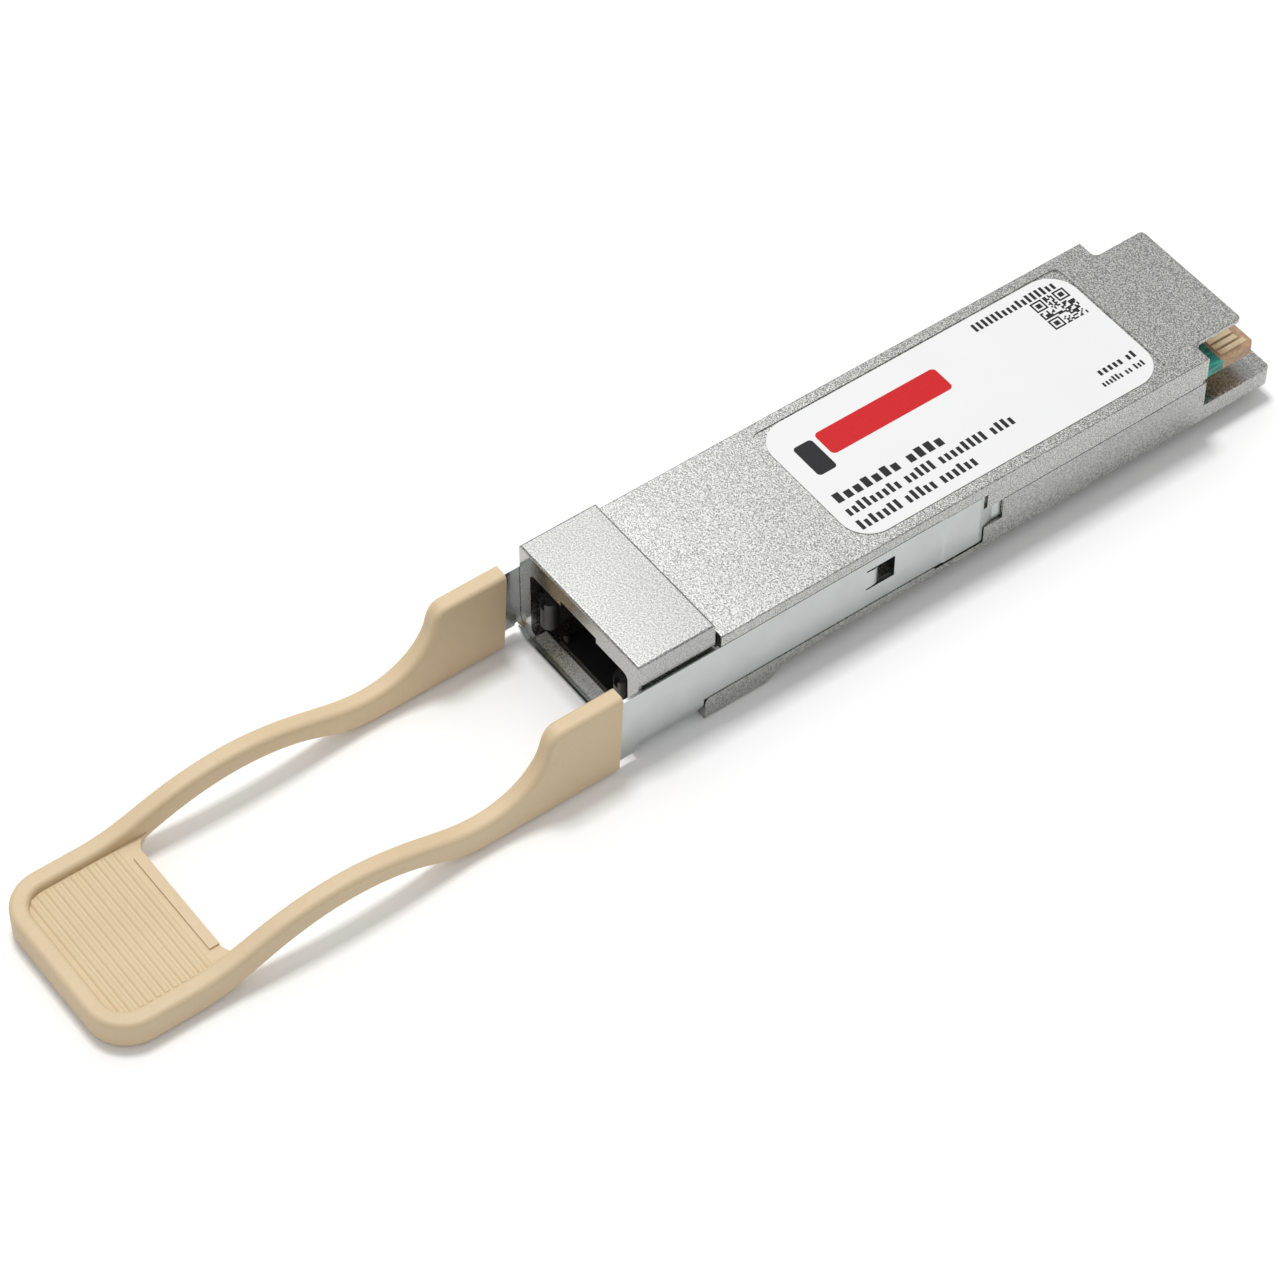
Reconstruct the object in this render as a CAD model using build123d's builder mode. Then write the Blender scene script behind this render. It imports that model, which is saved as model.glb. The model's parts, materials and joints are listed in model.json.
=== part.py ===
"""Pluggable optical transceiver module with a multi-fibre port, a sprung release slide and a pull tab.

Millimetres, +Z up. The origin is the middle of the flat underside that rests in a host cage. The fibre
port and the pull tab face -Y, the edge connector faces +Y, and the cover with its label is on top.
"""
from build123d import *
import os

# ---- driving dimensions ----
body_width = 18.35
body_height = 8.5
body_length = 72.4
nose_length = 8.25
nose_height = 10.0
nose_drop = 1.5
tab_reach = 54.3

half = body_width / 2

# ---- stations along Y ----
nose_face = -44.0
nose_back = nose_face + nose_length
cover_front = nose_back + 0.35
port_end = nose_face + 9.5
channel_front = nose_face + 14.6
channel_back = nose_face + 28.3
arm_step = nose_face + 33.5
arm_end = nose_face + 38.0
arm_tip = nose_face + 40.2
shoulder = nose_face + 64.2
tongue_end = shoulder + 5.75
card_front = nose_face + 33.2
card_end = tongue_end + 1.0
body_end = nose_face + body_length
band_front = nose_face + 6.97
plate_front = nose_face - 0.45
plate_back = nose_face + 6.85
ramp_start = nose_face + 13.8
ramp_end = nose_face + 16.0
tab_tip = nose_face - tab_reach

# ---- levels along Z ----
floor_top = 1.4
ledge_top = 2.2
seam = 5.35
arm_low = 1.25
arm_front_low = -0.45
arm_high = 7.1
cover_under = 7.3
card_low = 4.5
card_high = 5.5
axis_z = 3.65
port_floor = -0.3
lip_low = -0.8
spring_z = 4.72

# ---- sheet, walls and gaps ----
sheet = 0.3
gap = 0.05
recess_x = 8.75
arm_in = recess_x + gap
arm_out = arm_in + sheet
end_out = half
wall_front = 7.6
wall_rear = 8.3
groove_x = 8.3
spring_wall = 6.2
channel_x = 6.9
tongue_half = 7.0
card_half = 8.2
boss_z = 4.0
seam_step = 0.06

os.makedirs("parts", exist_ok=True)


def block(x, y, z, mode=Mode.ADD):
    """Box in the open part, from the low and high value along each axis."""
    with Locations(((x[0] + x[1]) / 2, (y[0] + y[1]) / 2, (z[0] + z[1]) / 2)):
        Box(x[1] - x[0], y[1] - y[0], z[1] - z[0], mode=mode)


def pair(x, y, z, mode=Mode.ADD):
    """The same box on the right and, mirrored, on the left."""
    block(x, y, z, mode)
    block((-x[1], -x[0]), y, z, mode)


def upright(x, y, z, radius, mode=Mode.ADD):
    """Round post or hole along Z."""
    with Locations((x, y, (z[0] + z[1]) / 2)):
        Cylinder(radius, z[1] - z[0], mode=mode)


def save(piece, name):
    piece.part.label = name
    export_step(piece.part, f"parts/{name}.step")


# ---- cover screws: flat heads sunk in the underside, threads in the cover's bosses ----
screw_r = 0.8
head_r = 1.5
head_h = 0.7
screw_length = 6.0
boss_r = 1.5
screw_spots = [(x, nose_face + y) for y, x in ((31.0, 6.0), (31.0, -6.0), (58.5, 6.4), (58.5, -6.4))]

# ---- base housing: die-cast nose, port, floor, side walls and rear ledge ----
with BuildPart() as base_housing:
    with BuildSketch(Plane.YZ):
        with BuildLine():
            Polyline(
                (nose_face, -nose_drop + sheet + gap),
                (band_front, -nose_drop + sheet + gap),
                (band_front, -nose_drop),
                (ramp_start, -nose_drop),
                (ramp_end, 0),
                (body_end, 0),
                (body_end, ledge_top),
                (shoulder, ledge_top),
                (shoulder, seam),
                (nose_back, seam),
                (nose_back, nose_height),
                (nose_face, nose_height),
                close=True,
            )
        make_face()
    extrude(amount=half, both=True)
    # seats of the release arms: full height at the nose, then the band behind it
    pair((recess_x, half), (nose_face, band_front), (-nose_drop, nose_height), Mode.SUBTRACT)
    pair((recess_x, half), (nose_face, arm_end + 0.15), (arm_low - gap, nose_height), Mode.SUBTRACT)
    pair((groove_x, half), (nose_face + 0.35, nose_back), (arm_high - 0.1, arm_high + 0.35), Mode.SUBTRACT)
    band_corners = [
        e for e in base_housing.edges().filter_by(Axis.X)
        if abs(e.center().Y - band_front) < 0.01 and abs(e.center().Z - arm_low + gap) < 0.01
    ]
    fillet(band_corners, 0.6)
    pair((recess_x - 0.25, half), (arm_end - 0.5, arm_tip + 0.06), (2.85, seam), Mode.SUBTRACT)
    # pockets that take the cage's latch tabs
    pair((wall_rear + 0.1, half), (arm_end - 5.4, arm_end + 0.15), (0.95, seam), Mode.SUBTRACT)
    nose_bottom = [
        e for e in base_housing.edges().filter_by(Axis.Y)
        if abs(abs(e.center().X) - recess_x) < 0.01 and e.center().Z < 0 and e.center().Y < band_front
    ]
    fillet(nose_bottom, 2.0)
    nose_top = [
        e for e in base_housing.edges()
        if abs(e.center().Z - nose_height) < 0.01 and e.length > nose_length - 1
    ]
    fillet(nose_top, 0.25)
    ledge_corners = [
        e for e in base_housing.edges().filter_by(Axis.Z)
        if abs(e.center().Y - body_end) < 0.01
    ]
    fillet(ledge_corners, 0.6)
    underside_edges = [
        e for e in base_housing.edges()
        if e.center().Z < 0.01 and e.center().Y > band_front and (
            abs(abs(e.center().X) - half) < 0.5 or abs(e.center().Y - body_end) < 0.5)
        and e.bounding_box().size.Y + e.bounding_box().size.X > 1
    ]
    fillet(underside_edges, 0.3)
    # room for the optics and the card
    block((-spring_wall, spring_wall), (port_end, nose_face + 29.0), (floor_top, seam), Mode.SUBTRACT)
    block((-wall_front, wall_front), (nose_face + 29.0, nose_face + 41.0), (floor_top, seam), Mode.SUBTRACT)
    block((-wall_rear, wall_rear), (nose_face + 41.0, shoulder - 1.0), (floor_top, seam), Mode.SUBTRACT)
    block((-wall_rear, wall_rear), (shoulder - 1.0, shoulder), (ledge_top, seam), Mode.SUBTRACT)
    # fibre port with its keyway, and the slot that the retainer drops into
    with BuildSketch(Plane.XZ.offset(-nose_face)):
        with Locations((0, axis_z)):
            RectangleRounded(14.4, 2 * (axis_z - port_floor), 0.7)
        with Locations((0, axis_z + 4.0)):
            Rectangle(5.2, 1.1)
    extrude(amount=-(port_end - nose_face), mode=Mode.SUBTRACT)
    # lead-in slope on the lower lip of the port
    with BuildSketch(Plane.YZ):
        with BuildLine():
            Polyline(
                (nose_face, lip_low), (nose_face + 1.1, port_floor), (nose_face, port_floor), close=True,
            )
        make_face()
    extrude(amount=6.5, both=True, mode=Mode.SUBTRACT)
    block((-wall_front, wall_front), (nose_face + 7.0, port_end), (5.0, cover_under - 0.1), Mode.SUBTRACT)
    # spring channels beside the port
    pair((channel_x, recess_x), (channel_front, channel_back), (spring_z - 1.15, seam), Mode.SUBTRACT)
    # cradle under the ferrule and shelves under the card
    block((-4.4, 4.4), (port_end + 0.2, nose_face + 17.0), (floor_top, 1.85))
    pair((6.5, wall_front), (card_front + 1.0, nose_face + 38.0), (floor_top, card_low))
    pair((7.3, wall_rear), (nose_face + 42.0, nose_face + 55.0), (floor_top, card_low))
    # screw bosses with sunk heads
    for x, y in screw_spots:
        upright(x, y, (floor_top - 0.1, boss_z), boss_r)
    for x, y in screw_spots:
        upright(x, y, (0, boss_z), screw_r + 0.1, Mode.SUBTRACT)
        with Locations((x, y, head_h / 2)):
            Cone(head_r + 0.1, screw_r + 0.1, head_h, mode=Mode.SUBTRACT)
    # groove for the seam gaskets
    pair((8.6, 8.9), (nose_face + 42.5, nose_face + 62.0), (seam - 0.2, seam), Mode.SUBTRACT)
    # step that marks the seam with the cover
    pair((half - seam_step, half), (arm_tip + 0.06, shoulder), (seam - seam_step, seam), Mode.SUBTRACT)
save(base_housing, "base_housing")

# ---- top cover: plate, tongue over the card edge, skirts and label pocket ----
label_y = (nose_face + 25.0, nose_face + 60.2)
pocket_depth = 0.15
label_thick = 0.1
with BuildPart() as top_cover:
    with BuildSketch(Plane.XY.offset(cover_under)):
        with BuildLine():
            Polyline(
                (-half, cover_front), (half, cover_front), (half, shoulder), (tongue_half, shoulder),
                (tongue_half, tongue_end), (-tongue_half, tongue_end), (-tongue_half, shoulder),
                (-half, shoulder), close=True,
            )
        make_face()
    extrude(amount=body_height - cover_under)
    tongue_corners = top_cover.edges().filter_by(Axis.Z).group_by(Axis.Y)[-1]
    fillet(tongue_corners, 0.5)
    inner_corners = [
        e for e in top_cover.edges().filter_by(Axis.Z)
        if abs(abs(e.center().X) - tongue_half) < 0.01 and abs(e.center().Y - shoulder) < 0.01
    ]
    fillet(inner_corners, 0.6)
    rim = top_cover.faces().sort_by(Axis.Z)[-1].edges()
    fillet(rim, 0.15)
    pair((wall_rear, half), (arm_tip + 0.06, shoulder), (seam, cover_under))
    pair((wall_front, recess_x), (cover_front, arm_tip + 0.06), (seam, cover_under))
    pair((recess_x, half), (arm_step - 0.4, arm_tip + 0.06), (arm_high + gap, cover_under))
    pair((recess_x, half), (arm_end + 0.35, arm_tip + 0.06), (seam, cover_under))
    pair((wall_rear, half), (shoulder - 0.5, shoulder), (seam, seam + 0.5), Mode.SUBTRACT)
    pair((half - seam_step, half), (arm_tip + 0.06, shoulder), (seam, seam + seam_step), Mode.SUBTRACT)
    # the tongue over the card edge is a thin plate
    block((-tongue_half, tongue_half), (shoulder, tongue_end), (cover_under, 8.05), Mode.SUBTRACT)
    # caps that close the spring channels
    pair((spring_wall, recess_x), (nose_face + 13.8, nose_face + 29.0), (seam, cover_under))
    pair((channel_x, recess_x), (channel_front, channel_back), (seam, spring_z + 1.15), Mode.SUBTRACT)
    for x, y in screw_spots:
        upright(x, y, (boss_z, cover_under + 0.1), boss_r)
    for x, y in screw_spots:
        upright(x, y, (boss_z, screw_length + 0.2), screw_r, Mode.SUBTRACT)
    # shallow pocket for the label
    with BuildSketch(Plane.XY.offset(body_height)):
        with Locations((0, (label_y[0] + label_y[1]) / 2)):
            RectangleRounded(16.1, label_y[1] - label_y[0] + 0.4, 0.8)
    extrude(amount=-pocket_depth, mode=Mode.SUBTRACT)
save(top_cover, "top_cover")

with BuildPart() as label:
    with BuildSketch(Plane.XY.offset(body_height - pocket_depth)):
        with Locations((0, (label_y[0] + label_y[1]) / 2)):
            RectangleRounded(15.8, label_y[1] - label_y[0], 3.0)
    extrude(amount=label_thick)
save(label, "label")

with BuildPart() as cover_screws:
    for x, y in screw_spots:
        with Locations((x, y, head_h / 2)):
            Cone(head_r, screw_r - 0.02, head_h)
        upright(x, y, (head_h, screw_length), screw_r - 0.02)
        # cross recess
        block((x - 0.8, x + 0.8), (y - 0.12, y + 0.12), (0, 0.4), Mode.SUBTRACT)
        block((x - 0.12, x + 0.12), (y - 0.8, y + 0.8), (0, 0.4), Mode.SUBTRACT)
save(cover_screws, "cover_screws")

with BuildPart() as seam_gaskets:
    pair((8.62, 8.88), (nose_face + 42.6, nose_face + 61.9), (seam - 0.19, seam))
save(seam_gaskets, "seam_gaskets")

# ---- circuit card with its edge contacts ----
step_y = nose_face + 41.6
with BuildPart() as circuit_card:
    block((-7.4, 7.4), (card_front, step_y), (card_low, card_high))
    block((-card_half, card_half), (step_y, card_end), (card_low, card_high))
    chamfer(circuit_card.edges().filter_by(Axis.Z).group_by(Axis.Y)[-1], 0.5)
    for x, y in screw_spots[2:]:
        upright(x, y, (card_low, card_high), boss_r + 0.15, Mode.SUBTRACT)
save(circuit_card, "circuit_card")

contact_count = 19
contact_pitch = 0.8
contact_thick = 0.04


def edge_contacts(z):
    """One row of gold contacts; every third one, a ground contact, reaches further out."""
    for i in range(contact_count):
        x = (i - (contact_count - 1) / 2) * contact_pitch
        reach = 0.45 if i % 3 == 0 else 0.85
        block((x - 0.28, x + 0.28), (card_end - 3.6, card_end - reach), z)


with BuildPart() as edge_contacts_top:
    edge_contacts((card_high, card_high + contact_thick))
save(edge_contacts_top, "edge_contacts_top")

with BuildPart() as edge_contacts_bottom:
    edge_contacts((card_low - contact_thick, card_low))
save(edge_contacts_bottom, "edge_contacts_bottom")

# ---- optical port: retainer, sprung hooks, ferrule, pins, boot and ribbon ----
hook_x = 5.45
hook_pivot = port_end + 0.45
retainer_back = port_end + 2.2
hook_z = (2.0, 5.3)
barb_y = nose_face + 0.8
with BuildPart() as port_retainer:
    block((-6.1, 6.1), (port_end + 0.05, retainer_back), (1.95, cover_under - 0.15))
    block((-3.3, 3.3), (port_end, retainer_back), (axis_z - 1.3, axis_z + 1.3), Mode.SUBTRACT)
    for side in (-1, 1):
        upright(side * hook_x, hook_pivot, (hook_z[0] - 0.06, hook_z[1] + 0.06), 0.66, Mode.SUBTRACT)
        notch = (side * hook_x - 0.62, side * hook_x + 0.62)
        block(notch, (port_end, hook_pivot), (hook_z[0] - 0.06, hook_z[1] + 0.06), Mode.SUBTRACT)
    # guide plate along the floor of the port, with a peg at each front corner
    block((-4.6, 4.6), (nose_face + 1.3, port_end - gap), (port_floor + 0.02, 0.1))
    block((-4.6, 4.6), (port_end - 0.5, port_end - gap), (port_floor + 0.02, 2.3))
    block((-4.6, 4.6), (port_end - 0.5, port_end + 0.1), (1.95, 2.3))
    for side in (-1, 1):
        upright(side * 4.25, nose_face + 1.8, (port_floor + 0.02, 1.0), 0.35)
save(port_retainer, "port_retainer")


def make_hook(side):
    """Latch hook: round root, straight arm and a rounded barb that faces the plug."""
    with BuildPart() as hook:
        upright(side * hook_x, hook_pivot, hook_z, 0.55)
        arm = sorted((side * (hook_x - 0.4), side * (hook_x + 0.4)))
        block(arm, (barb_y, hook_pivot), hook_z)
        upright(side * hook_x, barb_y, hook_z, 0.85)
        # notch in the top of the barb
        block((side * hook_x - 0.3, side * hook_x + 0.3), (barb_y - 0.9, barb_y - 0.2),
              (hook_z[1] - 0.8, hook_z[1]), Mode.SUBTRACT)
    return hook


hook_left = make_hook(-1)
save(hook_left, "hook_left")
hook_right = make_hook(1)
save(hook_right, "hook_right")

ferrule_front = nose_face + 5.5
ferrule_back = retainer_back + 2.0
pin_x = 2.3
pin_r = 0.35
with BuildPart() as fibre_ferrule:
    block((-3.2, 3.2), (ferrule_front, retainer_back), (axis_z - 1.25, axis_z + 1.25))
    block((-3.6, 3.6), (retainer_back, ferrule_back), (axis_z - 1.75, axis_z + 1.75))
    block((-1.8, 1.8), (retainer_back - 0.6, ferrule_back), (axis_z - 0.65, axis_z + 0.65), Mode.SUBTRACT)
    with BuildSketch(Plane.XZ.offset(-ferrule_back)):
        with Locations((-pin_x, axis_z), (pin_x, axis_z)):
            Circle(pin_r + 0.01)
    extrude(amount=ferrule_back - ferrule_front, mode=Mode.SUBTRACT)
save(fibre_ferrule, "fibre_ferrule")

with BuildPart() as guide_pins:
    with BuildSketch(Plane.XZ.offset(-(ferrule_back + 0.6))):
        with Locations((-pin_x, axis_z), (pin_x, axis_z)):
            Circle(pin_r)
    extrude(amount=ferrule_back + 0.6 - (ferrule_front - 2.0))
    fillet(guide_pins.edges().group_by(Axis.Y)[0], 0.2)
save(guide_pins, "guide_pins")

with BuildPart() as pin_holder:
    block((-3.5, 3.5), (ferrule_back, ferrule_back + 0.6), (axis_z - 1.7, axis_z + 1.7))
    block((-1.9, 1.9), (ferrule_back, ferrule_back + 0.6), (axis_z - 0.7, axis_z + 1.7), Mode.SUBTRACT)
    with BuildSketch(Plane.XZ.offset(-(ferrule_back + 0.6))):
        with Locations((-pin_x, axis_z), (pin_x, axis_z)):
            Circle(pin_r + 0.01)
    extrude(amount=0.6, mode=Mode.SUBTRACT)
save(pin_holder, "pin_holder")

boot_end = ferrule_back + 2.6
with BuildPart() as ferrule_boot:
    block((-1.78, 1.78), (retainer_back - 0.6, boot_end), (axis_z - 0.63, axis_z + 0.63))
    chamfer(ferrule_boot.edges().group_by(Axis.Y)[-1], 0.25)
save(ferrule_boot, "ferrule_boot")

# ---- optical engine on the card ----
ribbon_z = 6.35
lens_front = nose_face + 37.6
with BuildPart() as fibre_ribbon:
    with BuildLine(Plane.YZ):
        Spline(
            (boot_end, axis_z), (boot_end + 2.5, axis_z), (card_front - 2.6, ribbon_z - 0.1),
            (card_front + 0.6, ribbon_z), (lens_front, ribbon_z),
            tangents=((1, 0), (1, 0)),
        )
    with BuildSketch(Plane.XZ.offset(-boot_end)):
        with Locations((0, axis_z)):
            Rectangle(3.1, 0.25)
    sweep()
save(fibre_ribbon, "fibre_ribbon")

with BuildPart() as ribbon_holder:
    block((-2.6, 2.6), (nose_face + 34.2, nose_face + 36.4), (card_high, 6.9))
    ribbon_slot_z = (ribbon_z - 0.16, ribbon_z + 0.16)
    block((-1.62, 1.62), (nose_face + 34.2, nose_face + 36.4), ribbon_slot_z, Mode.SUBTRACT)
save(ribbon_holder, "ribbon_holder")

with BuildPart() as lens_block:
    block((-3.1, 3.1), (lens_front, lens_front + 4.4), (card_high, 6.8))
    block((-2.7, 2.7), (lens_front + 1.4, lens_front + 4.0), (card_high, card_high + 0.45), Mode.SUBTRACT)
    with BuildSketch(Plane.YZ):
        with BuildLine():
            Polyline(
                (lens_front + 2.0, 6.8), (lens_front + 2.8, 6.0), (lens_front + 2.8, 6.8), close=True,
            )
        make_face()
    extrude(amount=2.2, both=True, mode=Mode.SUBTRACT)
save(lens_block, "lens_block")

with BuildPart() as laser_array:
    block((-2.2, -0.6), (lens_front + 2.1, lens_front + 2.5), (card_high, card_high + 0.15))
save(laser_array, "laser_array")

with BuildPart() as photodiode_array:
    block((0.6, 2.2), (lens_front + 2.1, lens_front + 2.5), (card_high, card_high + 0.15))
save(photodiode_array, "photodiode_array")

chip_y = (lens_front + 4.8, lens_front + 7.6)
with BuildPart() as laser_driver:
    block((-3.3, -0.4), chip_y, (card_high, card_high + 0.55))
save(laser_driver, "laser_driver")

with BuildPart() as receiver_amplifier:
    block((0.4, 3.3), chip_y, (card_high, card_high + 0.55))
save(receiver_amplifier, "receiver_amplifier")

shield_y = (lens_front - 0.7, lens_front + 8.1)
with BuildPart() as optics_shield:
    block((-4.0, 4.0), shield_y, (card_high, 7.05))
    block((-3.85, 3.85), (shield_y[0] + 0.15, shield_y[1] - 0.15), (card_high, 6.9), Mode.SUBTRACT)
    block((-1.8, 1.8), (shield_y[0], shield_y[0] + 0.2), (card_high, 6.6), Mode.SUBTRACT)
save(optics_shield, "optics_shield")

with BuildPart() as optics_thermal_pad:
    block((-3.6, 3.6), (shield_y[0] + 0.5, shield_y[1] - 0.4), (7.05, cover_under))
save(optics_thermal_pad, "optics_thermal_pad")

retimer_y = (nose_face + 48.2, nose_face + 52.7)
with BuildPart() as retimer_transmit:
    block((-5.6, -1.1), retimer_y, (card_high, card_high + 0.85))
save(retimer_transmit, "retimer_transmit")

with BuildPart() as retimer_receive:
    block((1.1, 5.6), retimer_y, (card_high, card_high + 0.85))
save(retimer_receive, "retimer_receive")

with BuildPart() as retimer_thermal_pad:
    block((-5.9, 5.9), (retimer_y[0] - 0.2, retimer_y[1] + 0.2), (card_high + 0.85, cover_under))
save(retimer_thermal_pad, "retimer_thermal_pad")

with BuildPart() as microcontroller:
    block((-2.5, 2.5), (nose_face + 45.0, nose_face + 50.0), (card_low - 0.8, card_low))
save(microcontroller, "microcontroller")

with BuildPart() as power_switch:
    block((-1.5, 1.5), (nose_face + 53.0, nose_face + 55.0), (card_low - 0.75, card_low))
save(power_switch, "power_switch")

with BuildPart() as power_inductors:
    for x in (-4.4, -1.5, 1.5, 4.4):
        block((x - 0.8, x + 0.8), (nose_face + 39.0, nose_face + 41.0), (card_low - 1.1, card_low))
save(power_inductors, "power_inductors")

with BuildPart() as capacitors:
    # coupling capacitors behind the contacts, above and below the card
    for i in range(8):
        x = (i - 3.5) * 1.6
        block((x - 0.25, x + 0.25), (nose_face + 60.2, nose_face + 61.2), (card_high, card_high + 0.5))
        block((x - 0.25, x + 0.25), (nose_face + 60.2, nose_face + 61.2), (card_low - 0.5, card_low))
    # supply capacitors along both sides of the retimers
    for i in range(5):
        y = nose_face + 47.4 + i * 1.5
        pair((6.4, 6.9), (y, y + 1.0), (card_high, card_high + 0.5))
save(capacitors, "capacitors")

with BuildPart() as resistors:
    for i in range(6):
        x = (i - 2.5) * 1.8
        block((x - 0.15, x + 0.15), (nose_face + 55.0, nose_face + 55.6), (card_high, card_high + 0.25))
        block((x - 0.15, x + 0.15), (nose_face + 43.0, nose_face + 43.6), (card_low - 0.25, card_low))
save(resistors, "resistors")

gasket_y = (nose_face + 61.8, nose_face + 63.0)
with BuildPart() as upper_card_gasket:
    block((-8.1, 8.1), gasket_y, (card_high, cover_under))
save(upper_card_gasket, "upper_card_gasket")

with BuildPart() as lower_card_gasket:
    block((-8.1, 8.1), gasket_y, (floor_top, card_low))
save(lower_card_gasket, "lower_card_gasket")

# ---- release bracket: steel channel under the nose, with an arm along each side ----
window_y = (nose_face + 25.35, nose_face + 27.9)
window_z = (3.45, 6.0)
louvre_r = 1.1
finger_y = (window_y[0] + louvre_r, window_y[0] + louvre_r + sheet)
bend = 2.05
bracket_tip = nose_face - 8.6
with BuildPart() as release_bracket:
    with BuildSketch(Plane.XZ.offset(-plate_front)):
        with BuildLine():
            FilletPolyline(
                (-arm_out + sheet / 2, arm_high),
                (-arm_out + sheet / 2, -nose_drop + sheet / 2),
                (arm_out - sheet / 2, -nose_drop + sheet / 2),
                (arm_out - sheet / 2, arm_high),
                radius=bend + sheet / 2,
            )
            offset(amount=sheet / 2, kind=Kind.INTERSECTION)
        make_face()
        with Locations((0, arm_high + 1)):
            Rectangle(2 * body_width, 2, mode=Mode.SUBTRACT)
    extrude(amount=-(plate_back - plate_front))
    with BuildSketch(Plane.XY.offset(arm_low)):
        with BuildLine():
            Polyline(
                (arm_in, bracket_tip), (arm_out, bracket_tip), (arm_out, arm_step - 0.1),
                (end_out, arm_step + 0.1), (end_out, arm_end - 0.4), (end_out - 0.3, arm_tip - 1.0),
                (end_out - 0.3, arm_tip), (end_out - 0.3 - sheet, arm_tip),
                (end_out - 0.3 - sheet, arm_tip - 1.0), (end_out - sheet, arm_end - 0.4),
                (end_out - sheet, arm_step + 0.1), (arm_in, arm_step - 0.1), close=True,
            )
        make_face()
        mirror(about=Plane.YZ)
    extrude(amount=arm_high - arm_low)
    pair((arm_in, arm_out), (bracket_tip, plate_front), (arm_front_low, arm_low))
    for z in ((arm_low, 2.95), (seam - 0.05, arm_high)):
        pair((arm_in - 0.5, half + 0.1), (arm_end, arm_tip + 0.1), z, Mode.SUBTRACT)
    # window with a louvre curved in from its front edge, which the spring pushes on
    pair((arm_in - 0.1, arm_out + 0.1), window_y, window_z, Mode.SUBTRACT)
    for z in ((window_z[0], window_z[0] + 0.2), (window_z[1] - 0.2, window_z[1])):
        pair((arm_in - 0.1, arm_out + 0.1), (window_y[0] - 0.6, window_y[0]), z, Mode.SUBTRACT)
    louvre_z = (window_z[0] + 0.25, window_z[1] - 0.25)
    with BuildSketch(Plane.XY.offset(louvre_z[0])):
        with BuildLine():
            FilletPolyline(
                (arm_in + sheet / 2, window_y[0] - 0.1),
                (arm_in + sheet / 2, finger_y[0] + sheet / 2),
                (channel_x + sheet, finger_y[0] + sheet / 2),
                radius=louvre_r,
            )
            offset(amount=sheet / 2, kind=Kind.INTERSECTION)
        make_face()
        mirror(about=Plane.YZ)
    extrude(amount=louvre_z[1] - louvre_z[0])
    # relief holes where the bend begins
    with BuildSketch(Plane.YZ):
        with Locations((plate_front - 0.05, arm_front_low + 0.1)):
            Circle(0.2)
    extrude(amount=half, both=True, mode=Mode.SUBTRACT)
save(release_bracket, "release_bracket")

# ---- return springs in their channels ----
wire_r = 0.14
coil_r = 0.72
spring_turns = 9
spring_x = (channel_x + recess_x) / 2
spring_y = (channel_front + wire_r, finger_y[0] - wire_r)


def make_spring(side):
    """Closed-wire compression spring along Y."""
    length = spring_y[1] - spring_y[0]
    with BuildPart() as spring:
        with BuildLine():
            wire = Helix(
                pitch=length / spring_turns, height=length, radius=coil_r,
                center=(side * spring_x, spring_y[0], spring_z), direction=(0, 1, 0),
            )
        with BuildSketch(Plane(origin=wire @ 0, z_dir=wire % 0)):
            Circle(wire_r)
        sweep(path=wire, is_frenet=True)
    return spring


return_spring_left = make_spring(-1)
save(return_spring_left, "return_spring_left")
return_spring_right = make_spring(1)
save(return_spring_right, "return_spring_right")

# ---- pull tab: two waved arms, tall ears around the bracket and a ribbed grip ----
tab_half = 9.5
arm_inner = 7.7
tab_low = -1.3
grip_top = 1.75
pad_z = 0.95
ear_top = 8.2
ear_back = nose_face - 2.1
ear_front = nose_face - 9.4
wave_start = nose_face - 16.5
wave_end = nose_face - 46.0
grip_back = nose_face - 41.4
rim_back = tab_tip + 1.7
window_r = 1.8
soft_r = 0.5
rib_r = 0.42
rib_rise = 0.14
rib_pitch = 0.84
rib_count = 11


def level_edges(piece, choose):
    """Edges of the piece, apart from upright ones, whose centre passes the test."""
    return [e for e in piece.edges() if e.bounding_box().size.Z < 9.3 and
            e.bounding_box().size.X + e.bounding_box().size.Y > 0.01 and choose(e.center())]


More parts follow.
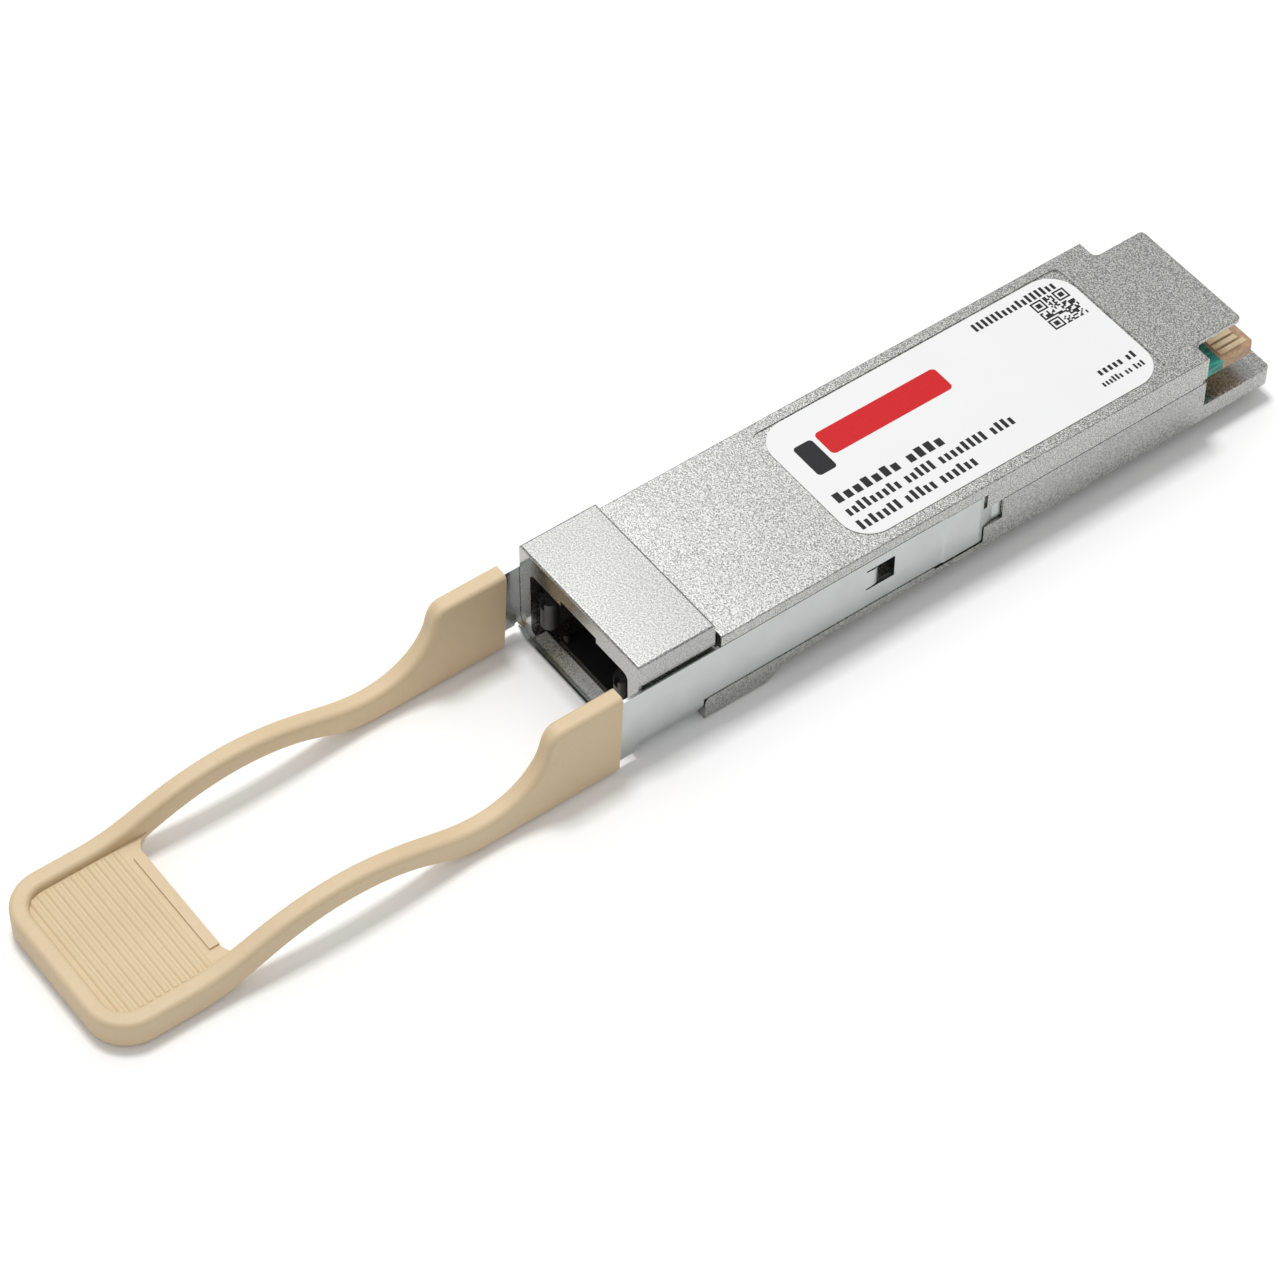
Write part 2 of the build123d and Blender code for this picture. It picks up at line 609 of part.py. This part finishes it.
with BuildPart() as pull_tab:
    with BuildSketch(Plane.YZ):
        with BuildLine():
            Polyline((ear_front + 1.2, ear_top), (ear_back, ear_top), (ear_back - 0.5, tab_low),
                     (wave_start, tab_low))
            Spline((wave_start, tab_low), (nose_face - 23.0, 0.7), (nose_face - 30.2, 2.1),
                   (nose_face - 38.0, 0.75), (wave_end, tab_low), tangents=((-1, 0), (-1, 0)))
            Polyline((wave_end, tab_low), (tab_tip, tab_low), (tab_tip, grip_top), (wave_end, grip_top))
            Spline((wave_end, grip_top), (nose_face - 38.5, 3.35), (nose_face - 30.5, 4.45),
                   (nose_face - 23.0, 3.15), (nose_face - 16.2, 1.75), (nose_face - 12.0, 3.3),
                   (ear_front - 0.55, 6.3), tangents=((1, 0), (0.25, 1)))
            Spline((ear_front - 0.55, 6.3), (ear_front + 0.1, 7.75), (ear_front + 1.2, ear_top),
                   tangents=((0.25, 1), (1, 0)))
        make_face()
    extrude(amount=tab_half, both=True)
    fillet([e for e in pull_tab.edges().filter_by(Axis.Z) if abs(e.center().Y - tab_tip) < 0.01], 4.0)
    # window between the arms, open towards the module
    with BuildSketch(Plane.XY.offset(-5)):
        with Locations((0, (grip_back + ear_back + 10) / 2)):
            RectangleRounded(2 * arm_inner, ear_back + 10 - grip_back, window_r)
    extrude(amount=20, mode=Mode.SUBTRACT)
    # sunken grip pad inside a raised rim
    with BuildSketch(Plane.XY.offset(pad_z)):
        with Locations((0, (rim_back + grip_back + 4) / 2)):
            RectangleRounded(2 * arm_inner, grip_back + 4 - rim_back, 2.2)
    extrude(amount=10, mode=Mode.SUBTRACT)
    # soft moulded edges, outside and then inside
    fillet(level_edges(pull_tab, lambda c: abs(abs(c.X) - tab_half) < 0.01 or c.Y < tab_tip + 1.3), soft_r)
    rim_edges = level_edges(
        pull_tab,
        lambda c: abs(c.Z - pad_z) > 0.01 and (
            abs(abs(c.X) - arm_inner) < 0.01 or
            (c.Z > pad_z and c.Y < rim_back + 1.0 and abs(c.X) < arm_inner)
        ),
    )
    rim_edges = [e for e in rim_edges if e.center().Y > rim_back - 0.01]
    fillet(rim_edges, soft_r)
    # rounded ribs across the pad and a plain bar at the window
    for i in range(rib_count):
        with Locations((0, rim_back + 0.9 + i * rib_pitch, pad_z + rib_rise - rib_r)):
            Cylinder(rib_r, 2 * arm_inner - 0.5, rotation=(0, 90, 0))
    bar_half = arm_inner - window_r
    block((-bar_half, bar_half), (grip_back - 1.0, grip_back), (pad_z - 0.5, pad_z + 0.2))
    # slots moulded around the bracket's ends
    pair((arm_in, arm_out), (bracket_tip, ear_back), (arm_front_low, arm_high), Mode.SUBTRACT)
save(pull_tab, "pull_tab")
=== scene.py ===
"""Looks of the optical transceiver module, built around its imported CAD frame.

Metres, in the CAD frame: -Y is towards the fibre port and the pull tab, +Y towards the edge connector,
and +Z up through the label. Most sizes are written in millimetres and turned to metres by MM.
"""

import json
import math
import random

import bmesh
import bpy
from mathutils import Matrix, Vector


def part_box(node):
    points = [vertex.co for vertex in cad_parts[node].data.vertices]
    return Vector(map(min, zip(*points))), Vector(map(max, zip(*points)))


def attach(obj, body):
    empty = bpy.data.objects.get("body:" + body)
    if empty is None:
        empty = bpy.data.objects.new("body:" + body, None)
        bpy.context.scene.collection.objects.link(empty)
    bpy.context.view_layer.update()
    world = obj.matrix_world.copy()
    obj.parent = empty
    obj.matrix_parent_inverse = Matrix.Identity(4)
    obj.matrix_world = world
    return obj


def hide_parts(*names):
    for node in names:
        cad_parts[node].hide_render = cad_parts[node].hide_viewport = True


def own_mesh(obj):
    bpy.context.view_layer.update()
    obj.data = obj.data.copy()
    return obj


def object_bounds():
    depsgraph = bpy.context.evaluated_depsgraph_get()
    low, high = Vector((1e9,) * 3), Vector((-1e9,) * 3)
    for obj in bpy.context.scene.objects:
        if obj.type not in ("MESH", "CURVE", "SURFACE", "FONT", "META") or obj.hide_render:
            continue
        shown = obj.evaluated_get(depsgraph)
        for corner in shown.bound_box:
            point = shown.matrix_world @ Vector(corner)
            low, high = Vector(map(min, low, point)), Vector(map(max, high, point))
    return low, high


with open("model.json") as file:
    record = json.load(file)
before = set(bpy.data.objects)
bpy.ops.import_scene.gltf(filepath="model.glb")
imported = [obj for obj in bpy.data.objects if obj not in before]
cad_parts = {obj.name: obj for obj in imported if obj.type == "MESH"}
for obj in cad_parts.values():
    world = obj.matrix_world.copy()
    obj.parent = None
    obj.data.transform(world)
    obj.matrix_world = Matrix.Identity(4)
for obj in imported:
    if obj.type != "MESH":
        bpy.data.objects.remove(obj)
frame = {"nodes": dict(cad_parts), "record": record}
cad_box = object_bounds()
nodes = frame["nodes"]

MM = 0.001


# ---- material recipes ----
class Recipe:
    """A Principled material whose colour, roughness and bump come from a few procedural nodes."""

    def __init__(self, name, colour, metallic=0.0, roughness=0.5, **sockets):
        self.material = bpy.data.materials.new(name)
        self.material.use_nodes = True
        self.tree = self.material.node_tree
        self.shader = self.tree.nodes["Principled BSDF"]
        self.set(self.shader, "Base Color", (*colour, 1.0))
        self.set(self.shader, "Metallic", metallic)
        self.set(self.shader, "Roughness", roughness)
        for socket, value in sockets.items():
            self.set(self.shader, socket.replace("_", " "), value)
        coordinates = self.tree.nodes.new("ShaderNodeTexCoord")
        scale = self.tree.nodes.new("ShaderNodeVectorMath")
        scale.operation = "SCALE"
        self.tree.links.new(coordinates.outputs["Object"], scale.inputs[0])
        self.set(scale, "Scale", 1 / MM)
        self.place = scale.outputs[0]
        self.normal = None

    def set(self, node, socket, value):
        """Gives a socket a fixed value, or links another node's output to it."""
        if isinstance(value, bpy.types.NodeSocket):
            self.tree.links.new(value, node.inputs[socket])
        else:
            node.inputs[socket].default_value = value

    def stretched(self, stretch):
        """The place in millimetres, stretched along each axis, for grain that runs one way."""
        node = self.tree.nodes.new("ShaderNodeVectorMath")
        node.operation = "MULTIPLY"
        self.set(node, 0, self.place)
        self.set(node, 1, stretch)
        return node.outputs[0]

    def noise(self, per_mm, detail=2.0, rough=0.5, stretch=None):
        """Soft noise with that many cells per millimetre."""
        node = self.tree.nodes.new("ShaderNodeTexNoise")
        self.set(node, "Vector", self.stretched(stretch) if stretch else self.place)
        self.set(node, "Scale", per_mm)
        self.set(node, "Detail", detail)
        self.set(node, "Roughness", rough)
        return node.outputs["Fac"]

    def cells(self, per_mm, feature="F1", stretch=None):
        """Distance from cell centres or edges, with that many cells per millimetre."""
        node = self.tree.nodes.new("ShaderNodeTexVoronoi")
        node.feature = feature
        self.set(node, "Vector", self.stretched(stretch) if stretch else self.place)
        self.set(node, "Scale", per_mm)
        return node.outputs["Distance"]

    def along(self, axis):
        """The place along one axis, in millimetres."""
        node = self.tree.nodes.new("ShaderNodeSeparateXYZ")
        self.set(node, 0, self.place)
        return node.outputs[axis]

    def combine(self, operation, a, b):
        """One step of arithmetic."""
        node = self.tree.nodes.new("ShaderNodeMath")
        node.operation = operation
        self.set(node, 0, a)
        self.set(node, 1, b)
        return node.outputs[0]

    def spread(self, value, low, high, to_low=0.0, to_high=1.0):
        """The value, taken from one range to another and clamped."""
        node = self.tree.nodes.new("ShaderNodeMapRange")
        self.set(node, "Value", value)
        self.set(node, "From Min", low)
        self.set(node, "From Max", high)
        self.set(node, "To Min", to_low)
        self.set(node, "To Max", to_high)
        return node.outputs["Result"]

    def blend(self, factor, a, b):
        """Colour a where the factor is 0 and colour b where it is 1."""
        node = self.tree.nodes.new("ShaderNodeMix")
        node.data_type = "RGBA"
        self.set(node, 0, factor)
        self.set(node, 6, a if isinstance(a, bpy.types.NodeSocket) else (*a, 1.0))
        self.set(node, 7, b if isinstance(b, bpy.types.NodeSocket) else (*b, 1.0))
        return node.outputs[2]

    def colour(self, value):
        self.set(self.shader, "Base Color", value)

    def roughness(self, value):
        self.set(self.shader, "Roughness", value)

    def bump(self, height, depth):
        """Raises the surface by the height times the depth in millimetres, on top of earlier bumps."""
        node = self.tree.nodes.new("ShaderNodeBump")
        self.set(node, "Height", height)
        self.set(node, "Distance", depth * MM)
        if self.normal:
            self.set(node, "Normal", self.normal)
        self.normal = node.outputs["Normal"]
        self.set(self.shader, "Normal", self.normal)


def blasted_nickel(name, bright, dull, grain=7.5, depth=0.012, contrast=0.5):
    """Nickel plate over a bead-blasted casting: an even sparkle of bright and dark grain."""
    made = Recipe(name, bright, metallic=1.0, roughness=0.3)
    speckle = made.noise(grain, 2.0, 0.6)
    clouds = made.spread(made.noise(0.1), 0.3, 0.7)
    tone = made.blend(clouds, bright, dull)
    light = made.blend(0.5, tone, [min(1.0, c * (1 + contrast)) for c in bright])
    dark = made.blend(0.5, tone, [c * (1 - contrast) for c in dull])
    made.colour(made.blend(made.spread(speckle, 0.38, 0.62), dark, light))
    made.roughness(made.spread(speckle, 0.35, 0.65, 0.22, 0.4))
    made.bump(speckle, depth)
    made.bump(made.cells(grain * 0.4), depth * 0.5)
    return made


def nose_polish(made, face):
    """Leaves the front of the casting smooth and bright, as it comes from a polished die face."""
    edge = 0.1
    smoothing = 0.16
    near_face = made.spread(made.along("Y"), face, face + edge, 1.0, 0.0)
    rough = made.shader.inputs["Roughness"].links[0].from_socket
    smoother = made.combine("MULTIPLY", near_face, -smoothing)
    made.roughness(made.combine("ADD", rough, smoother))
    return made.material


def smooth_steel(name, colour):
    """Cold-rolled stainless sheet: faint lengthwise grain and a few handling scuffs."""
    made = Recipe(name, colour, metallic=1.0, roughness=0.2)
    grain = made.noise(9.0, 2.0, 0.5, stretch=(1.0, 0.04, 1.0))
    smudge = made.noise(0.35, 3.0, 0.6)
    made.colour(made.blend(made.spread(smudge, 0.4, 0.7), colour, [c * 0.95 for c in colour]))
    made.roughness(made.spread(made.combine("ADD", grain, smudge), 0.7, 1.3, 0.17, 0.26))
    made.bump(grain, 0.0015)
    made.bump(made.noise(0.25, 1.0, 0.5), 0.004)
    return made.material


def moulded(name, colour, shade, roughness, grain=5.0, depth=0.004):
    """Moulded plastic: spark-eroded grain, faint flow clouds and a slightly uneven sheen."""
    made = Recipe(name, colour, roughness=roughness)
    flow = made.noise(0.12, 3.0, 0.55, stretch=(1.0, 0.5, 1.0))
    fleck = made.noise(2.2, 4.0, 0.6)
    tone = made.blend(made.spread(flow, 0.35, 0.7), colour, shade)
    made.colour(made.blend(made.spread(fleck, 0.6, 0.75, 0.0, 0.35), tone, [c * 0.82 for c in shade]))
    made.roughness(made.spread(fleck, 0.3, 0.7, roughness - 0.06, roughness + 0.1))
    made.bump(made.noise(grain, 3.0, 0.6), depth)
    return made.material


def drawn_wire(name, colour, roughness=0.25):
    """Drawn or turned bright metal with fine lines round it."""
    made = Recipe(name, colour, metallic=1.0, roughness=roughness)
    lines = made.noise(6.0, 2.0, 0.5, stretch=(0.2, 3.0, 0.2))
    made.colour(made.blend(made.spread(lines, 0.4, 0.7), colour, [c * 0.75 for c in colour]))
    made.roughness(made.spread(lines, 0.3, 0.7, roughness - 0.07, roughness + 0.12))
    made.bump(lines, 0.002)
    return made.material


def soft_filler(name, colour, shade):
    """Silicone or elastomer with a dusty, faintly lumpy skin."""
    made = Recipe(name, colour, roughness=0.75)
    lumps = made.noise(1.6, 4.0, 0.65)
    made.colour(made.blend(made.spread(lumps, 0.35, 0.7), colour, shade))
    made.roughness(made.spread(lumps, 0.3, 0.7, 0.62, 0.85))
    made.bump(lumps, 0.02)
    return made.material


def label_film(name):
    """White matt film with a faint paper-like tooth."""
    white = (0.8, 0.8, 0.8)
    off_white = (0.77, 0.77, 0.775)
    made = Recipe(name, white, roughness=0.42)
    tooth = made.noise(6.0, 3.0, 0.6)
    made.colour(made.blend(made.noise(0.15), white, off_white))
    made.roughness(made.spread(tooth, 0.3, 0.7, 0.36, 0.5))
    made.bump(tooth, 0.0012)
    return made.material


def ink(name, colour, shade):
    """Thermal-transfer print: dense colour with a few thin spots."""
    made = Recipe(name, colour, roughness=0.4, Specular_IOR_Level=0.2)
    thin = made.noise(7.0, 3.0, 0.7)
    made.colour(made.blend(made.spread(thin, 0.58, 0.8), colour, shade))
    made.roughness(made.spread(thin, 0.3, 0.7, 0.34, 0.5))
    made.bump(thin, 0.001)
    return made.material


def card_laminate(name):
    """Circuit card: green solder mask over copper tracks, and bare tan laminate around the contacts."""
    made = Recipe(name, (0.02, 0.26, 0.2), roughness=0.3)
    y = made.along("Y")
    contacts_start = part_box("edge_contacts_top")[0].y / MM
    bare = made.spread(y, contacts_start - 0.35, contacts_start - 0.3)
    weave = made.cells(2.4)
    tracks = made.cells(0.9, "DISTANCE_TO_EDGE", stretch=(1.0, 0.25, 1.0))
    mask = made.blend(made.spread(tracks, 0.1, 0.16), (0.03, 0.33, 0.27), (0.015, 0.2, 0.16))
    laminate = made.blend(made.spread(weave, 0.2, 0.6), (0.52, 0.34, 0.2), (0.4, 0.25, 0.15))
    made.colour(made.blend(bare, mask, laminate))
    made.roughness(made.spread(weave, 0.2, 0.6, 0.24, 0.4))
    made.bump(made.spread(tracks, 0.1, 0.16, 1.0, 0.0), 0.02)
    made.bump(weave, 0.006)
    return made.material


def gold_plate(name):
    """Hard gold with faint wiping marks along the mating direction."""
    made = Recipe(name, (0.93, 0.68, 0.3), metallic=1.0, roughness=0.3)
    wipes = made.noise(14.0, 2.0, 0.5, stretch=(1.0, 0.03, 1.0))
    made.colour(made.blend(made.spread(wipes, 0.45, 0.7), (0.95, 0.77, 0.5), (0.82, 0.64, 0.4)))
    made.roughness(made.spread(wipes, 0.3, 0.7, 0.18, 0.36))
    made.bump(wipes, 0.0015)
    return made.material


def optical_resin(name):
    """Clear amber resin with faint streaks from moulding."""
    made = Recipe(name, (0.85, 0.5, 0.14), roughness=0.08, Transmission_Weight=0.85, IOR=1.6)
    streaks = made.noise(0.8, 2.0, 0.5, stretch=(1.0, 0.3, 1.0))
    made.colour(made.blend(streaks, (0.9, 0.56, 0.18), (0.72, 0.38, 0.08)))
    made.roughness(made.spread(streaks, 0.3, 0.7, 0.05, 0.14))
    made.bump(streaks, 0.004)
    return made.material


nose_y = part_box("base_housing")[0].y / MM
die_cast = blasted_nickel("die_cast", (0.46, 0.46, 0.445), (0.4, 0.4, 0.385), grain=6.5, depth=0.009)
cover_plate = blasted_nickel("cover_plate", (0.49, 0.49, 0.47), (0.44, 0.44, 0.42), contrast=0.8)
finishes = {
    "die_cast": nose_polish(die_cast, nose_y),
    "cover_plate": cover_plate.material,
    "bracket_steel": smooth_steel("bracket_steel", (0.55, 0.575, 0.568)),
    "spring_steel": drawn_wire("spring_steel", (0.6, 0.61, 0.62)),
    "screw_steel": drawn_wire("screw_steel", (0.6, 0.59, 0.57), 0.32),
    "pin_steel": drawn_wire("pin_steel", (0.75, 0.75, 0.77), 0.16),
    "tab_plastic": moulded("tab_plastic", (0.68, 0.535, 0.345), (0.65, 0.505, 0.32), 0.55),
    "label_film": label_film("label_film"),
    "card_laminate": card_laminate("card_laminate"),
    "contact_gold": gold_plate("contact_gold"),
    "port_plastic": moulded("port_plastic", (0.012, 0.012, 0.013), (0.018, 0.018, 0.02), 0.4),
    "hook_plastic": moulded("hook_plastic", (0.03, 0.03, 0.033), (0.045, 0.045, 0.05), 0.34),
    "boot_rubber": soft_filler("boot_rubber", (0.02, 0.02, 0.02), (0.035, 0.035, 0.035)),
    "ribbon_coat": moulded("ribbon_coat", (0.05, 0.42, 0.42), (0.04, 0.36, 0.37), 0.3),
    "lens_resin": optical_resin("lens_resin"),
    "die_semiconductor": drawn_wire("die_semiconductor", (0.2, 0.2, 0.24), 0.15),
    "chip_epoxy": moulded("chip_epoxy", (0.02, 0.02, 0.022), (0.03, 0.03, 0.032), 0.55, 8.0, 0.006),
    "shield_tin": smooth_steel("shield_tin", (0.62, 0.62, 0.6)),
    "pad_silicone": soft_filler("pad_silicone", (0.2, 0.27, 0.36), (0.16, 0.22, 0.3)),
    "gasket_elastomer": soft_filler("gasket_elastomer", (0.06, 0.06, 0.065), (0.09, 0.09, 0.095)),
    "capacitor_ceramic": moulded("capacitor_ceramic", (0.42, 0.27, 0.14), (0.36, 0.22, 0.11), 0.4),
    "inductor_ferrite": moulded("inductor_ferrite", (0.07, 0.07, 0.072), (0.1, 0.1, 0.1), 0.6),
}
for part in frame["record"]["subparts"]:
    node = nodes[part["node"]]
    node.data.materials.clear()
    node.data.materials.append(finishes[part["material_slot"]])


# ---- label print, in plain generic blocks ----
label_low, label_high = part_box("label")
print_sink = 0.01 * MM
print_rise = 0.006 * MM
print_z = (label_high.z - print_sink, label_high.z + print_rise)
label_front = label_low.y / MM


def block(x, y, width, length):
    """Corners of an upright rectangle centred across the module on x, starting at y along it."""
    return [(x - width / 2, y), (x + width / 2, y), (x + width / 2, y + length), (x - width / 2, y + length)]


def rounded_block(x, y, width, length, radius, steps=6):
    """The same rectangle with round corners."""
    corners = ((1, 0), (1, 1), (-1, 1), (-1, 0))
    points = []
    for turn, (side, end) in enumerate(corners):
        centre_x = x + side * (width / 2 - radius)
        centre_y = y + radius + end * (length - 2 * radius)
        for step in range(steps + 1):
            angle = math.radians(90 * (turn - 1 + step / steps))
            points.append((centre_x + radius * math.cos(angle), centre_y + radius * math.sin(angle)))
    return points


def print_layer(name, outlines, material):
    """One ink layer: every outline as a thin raised patch on the label."""
    mesh = bmesh.new()
    for outline in outlines:
        low = [mesh.verts.new((x * MM, y * MM, print_z[0])) for x, y in outline]
        high = [mesh.verts.new((x * MM, y * MM, print_z[1])) for x, y in outline]
        mesh.faces.new(high)
        mesh.faces.new(low[::-1])
        count = len(outline)
        for i in range(count):
            j = (i + 1) % count
            mesh.faces.new((low[i], low[j], high[j], high[i]))
    bmesh.ops.recalc_face_normals(mesh, faces=mesh.faces)
    data = bpy.data.meshes.new(name)
    mesh.to_mesh(data)
    mesh.free()
    data.materials.append(material)
    piece = bpy.data.objects.new(name, data)
    bpy.context.scene.collection.objects.link(piece)
    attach(piece, "module")


def word_blocks(x, y, words, height, pitch, weight, seed):
    """A line of plain upright blocks, one per character place, which stands for small print."""
    draw = random.Random(seed)
    tall_share = 0.45
    short = 0.76
    word_gap = 0.7
    made = []
    for length in words:
        for _ in range(length):
            tall = height if draw.random() < tall_share else height * short
            made.append(block(x + (height - tall) / 2, y, tall, pitch * weight))
            y += pitch
        y += pitch * word_gap
    return made


def code_block(x, y, size, cells, seed):
    """A square of random cells inside three corner frames, which stands for a printed code."""
    draw = random.Random(seed)
    cell = size / cells
    corner = 7
    made = []
    for row in range(cells):
        for column in range(cells):
            low_row, high_row = row <= corner, row >= cells - corner - 1
            low_column, high_column = column <= corner, column >= cells - corner - 1
            in_corner = (low_row and (low_column or high_column)) or (high_row and low_column)
            if not in_corner and draw.random() < 0.5:
                made.append(block(x + (row + 0.5) * cell, y + column * cell, cell, cell))
    for row, column in ((0, 0), (0, cells - corner), (cells - corner, 0)):
        left = x + row * cell
        front = y + column * cell
        side = corner * cell
        made.append(block(left + cell / 2, front, cell, side))
        made.append(block(left + side - cell / 2, front, cell, side))
        made.append(block(left + side / 2, front, side - 2 * cell, cell))
        made.append(block(left + side / 2, front + side - cell, side - 2 * cell, cell))
        made.append(block(left + side / 2, front + 2 * cell, 3 * cell, 3 * cell))
    return made


black_ink = ink("black_ink", (0.018, 0.018, 0.02), (0.06, 0.06, 0.06))
red_ink = ink("red_ink", (0.58, 0.012, 0.016), (0.64, 0.05, 0.05))
print_layer("print_red", [rounded_block(-3.4, label_front + 4.5, 3.0, 13.8, 0.5)], red_ink)
print_layer("print_mark", [rounded_block(-2.6, label_front + 1.9, 4.0, 2.1, 0.4)], black_ink)
print_rows = (
    # across, from the label's front, words, height, pitch, weight, seed
    (2.4, 1.3, (7, 4), 1.2, 1.06, 0.68, 1),
    (4.22, 1.2, (9, 5, 8, 4), 1.15, 0.68, 0.58, 2),
    (6.1, 1.1, (7, 5, 6), 1.2, 0.69, 0.58, 3),
    (-6.5, 24.3, (17,), 1.0, 0.57, 0.56, 4),
    (4.5, 29.9, (5, 2), 0.85, 0.58, 0.56, 5),
    (5.85, 29.3, (6, 2, 3), 0.7, 0.4, 0.56, 6),
)
lines = []
for across, front, words, height, pitch, weight, seed in print_rows:
    lines += word_blocks(across, label_front + front, words, height, pitch, weight, seed)
lines += code_block(-5.8, label_front + 30.3, size=3.9, cells=21, seed=7)
print_layer("print_black", lines, black_ink)


# ---- return springs with closed ends ----
def coil_spring(name, node, wire, turns):
    """Compression spring along Y of that wire radius, as long as its CAD solid, with flat end turns."""
    low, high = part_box(node)
    centre = (low + high) / 2
    radius = (high.x - low.x) / 2 - wire
    start = low.y + wire
    free_length = high.y - low.y
    length = free_length - 2 * wire
    closed = 1.0
    end_pitch = 2 * wire * 0.98
    rings_per_turn = 40
    sides = 14
    total = int(turns * rings_per_turn)
    dead = 2 * wire * closed
    mesh = bmesh.new()
    rings = []
    for i in range(total + 1):
        turn = i / rings_per_turn
        if turn < closed:
            along = turn * end_pitch
        elif turn > turns - closed:
            along = length - (turns - turn) * end_pitch
        else:
            share = (turn - closed) / (turns - 2 * closed)
            along = dead + share * (length - 2 * dead)
        angle = 2 * math.pi * turn
        outward = Vector((math.cos(angle), 0, math.sin(angle)))
        place = Vector((centre.x, start + along, centre.z)) + outward * radius
        ring = []
        for side in range(sides):
            lean = 2 * math.pi * side / sides
            spoke = math.cos(lean) * outward + math.sin(lean) * Vector((0, 1, 0))
            ring.append(mesh.verts.new(place + wire * spoke))
        rings.append(ring)
    for a, b in zip(rings, rings[1:]):
        for side in range(sides):
            mesh.faces.new((a[side], a[(side + 1) % sides], b[(side + 1) % sides], b[side])).smooth = True
    mesh.faces.new(rings[0])
    mesh.faces.new(rings[-1][::-1])
    bmesh.ops.recalc_face_normals(mesh, faces=mesh.faces)
    data = bpy.data.meshes.new(name)
    mesh.to_mesh(data)
    mesh.free()
    data.materials.append(finishes["spring_steel"])
    piece = bpy.data.objects.new(name, data)
    bpy.context.scene.collection.objects.link(piece)
    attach(piece, "module")
    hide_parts(node)
    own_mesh(piece)


for side in ("left", "right"):
    coil_spring(f"coil_{side}", f"return_spring_{side}", wire=0.14 * MM, turns=10)


# ---- stage, light and camera ----
def area_light(name, place, aim, size, power):
    """Soft box that faces the aim."""
    lamp = bpy.data.lights.new(name, "AREA")
    lamp.shape = "RECTANGLE"
    lamp.size, lamp.size_y = size
    lamp.energy = power
    holder = bpy.data.objects.new(name, lamp)
    holder.location = place
    holder.rotation_euler = (Vector(aim) - Vector(place)).to_track_quat("-Z", "Y").to_euler()
    bpy.context.scene.collection.objects.link(holder)


def floor():
    """Plain pale floor under the object, far wider than the view."""
    reach = 1.5
    clearance = 0.02 * MM
    level = cad_box[0].z - clearance
    data = bpy.data.meshes.new("floor")
    data.from_pydata(
        [(-reach, -reach, level), (reach, -reach, level), (reach, reach, level), (-reach, reach, level)],
        [], [(0, 1, 2, 3)],
    )
    paint = Recipe("floor_paint", (0.95, 0.95, 0.95), roughness=0.9)
    paint.set(paint.shader, "Emission Color", (1.0, 1.0, 1.0, 1.0))
    paint.set(paint.shader, "Emission Strength", 0.03)
    data.materials.append(paint.material)
    piece = bpy.data.objects.new("floor", data)
    bpy.context.scene.collection.objects.link(piece)


def studio():
    """Overhead soft box, a bright ceiling that fades to a dim horizon, and a sheen over the nose."""
    horizon_light = 0.22
    ceiling_light = 0.62
    world = bpy.data.worlds.new("studio")
    bpy.context.scene.world = world
    world.use_nodes = True
    tree = world.node_tree
    direction = tree.nodes.new("ShaderNodeTexCoord")
    split = tree.nodes.new("ShaderNodeSeparateXYZ")
    ceiling = tree.nodes.new("ShaderNodeMapRange")
    tree.links.new(direction.outputs["Generated"], split.inputs[0])
    tree.links.new(split.outputs["Z"], ceiling.inputs["Value"])
    ceiling.inputs["From Min"].default_value = 0.0
    ceiling.inputs["From Max"].default_value = 0.7
    ceiling.inputs["To Min"].default_value = horizon_light
    ceiling.inputs["To Max"].default_value = ceiling_light
    tree.links.new(ceiling.outputs["Result"], tree.nodes["Background"].inputs["Strength"])
    tree.nodes["Background"].inputs["Color"].default_value = (1.0, 1.0, 1.0, 1.0)
    aim = (0, -0.02, 0)
    area_light("key", (-0.17, 0.0, 0.75), aim, (0.16, 0.16), 3.0)
    area_light("nose_sheen", (-0.155, 0.02, 0.25), (0, -0.035, 0.009), (0.14, 0.14), 0.09)
    bpy.context.scene.view_settings.view_transform = "Standard"


def camera():
    """Looks down over the port end from the module's right."""
    azimuth = math.radians(53.52)
    elevation = math.radians(50.08)
    distance = 0.41052
    aim = Vector((0, -0.014, 0.004))
    across = 0.018776
    upward = 0.012723
    lens = 128.74
    right = Vector((math.cos(azimuth), math.sin(azimuth), 0))
    back = Vector((
        math.sin(azimuth) * math.cos(elevation), -math.cos(azimuth) * math.cos(elevation), math.sin(elevation)
    ))
    up = back.cross(right)
    data = bpy.data.cameras.new("camera")
    data.lens = lens
    data.sensor_width = 36.0
    data.clip_start = 0.01
    data.clip_end = 10.0
    holder = bpy.data.objects.new("camera", data)
    place = aim + back * distance - right * across - up * upward
    holder.matrix_world = Matrix.Translation(place) @ Matrix((right, up, back)).transposed().to_4x4()
    bpy.context.scene.collection.objects.link(holder)
    bpy.context.scene.camera = holder


floor()
studio()
camera()
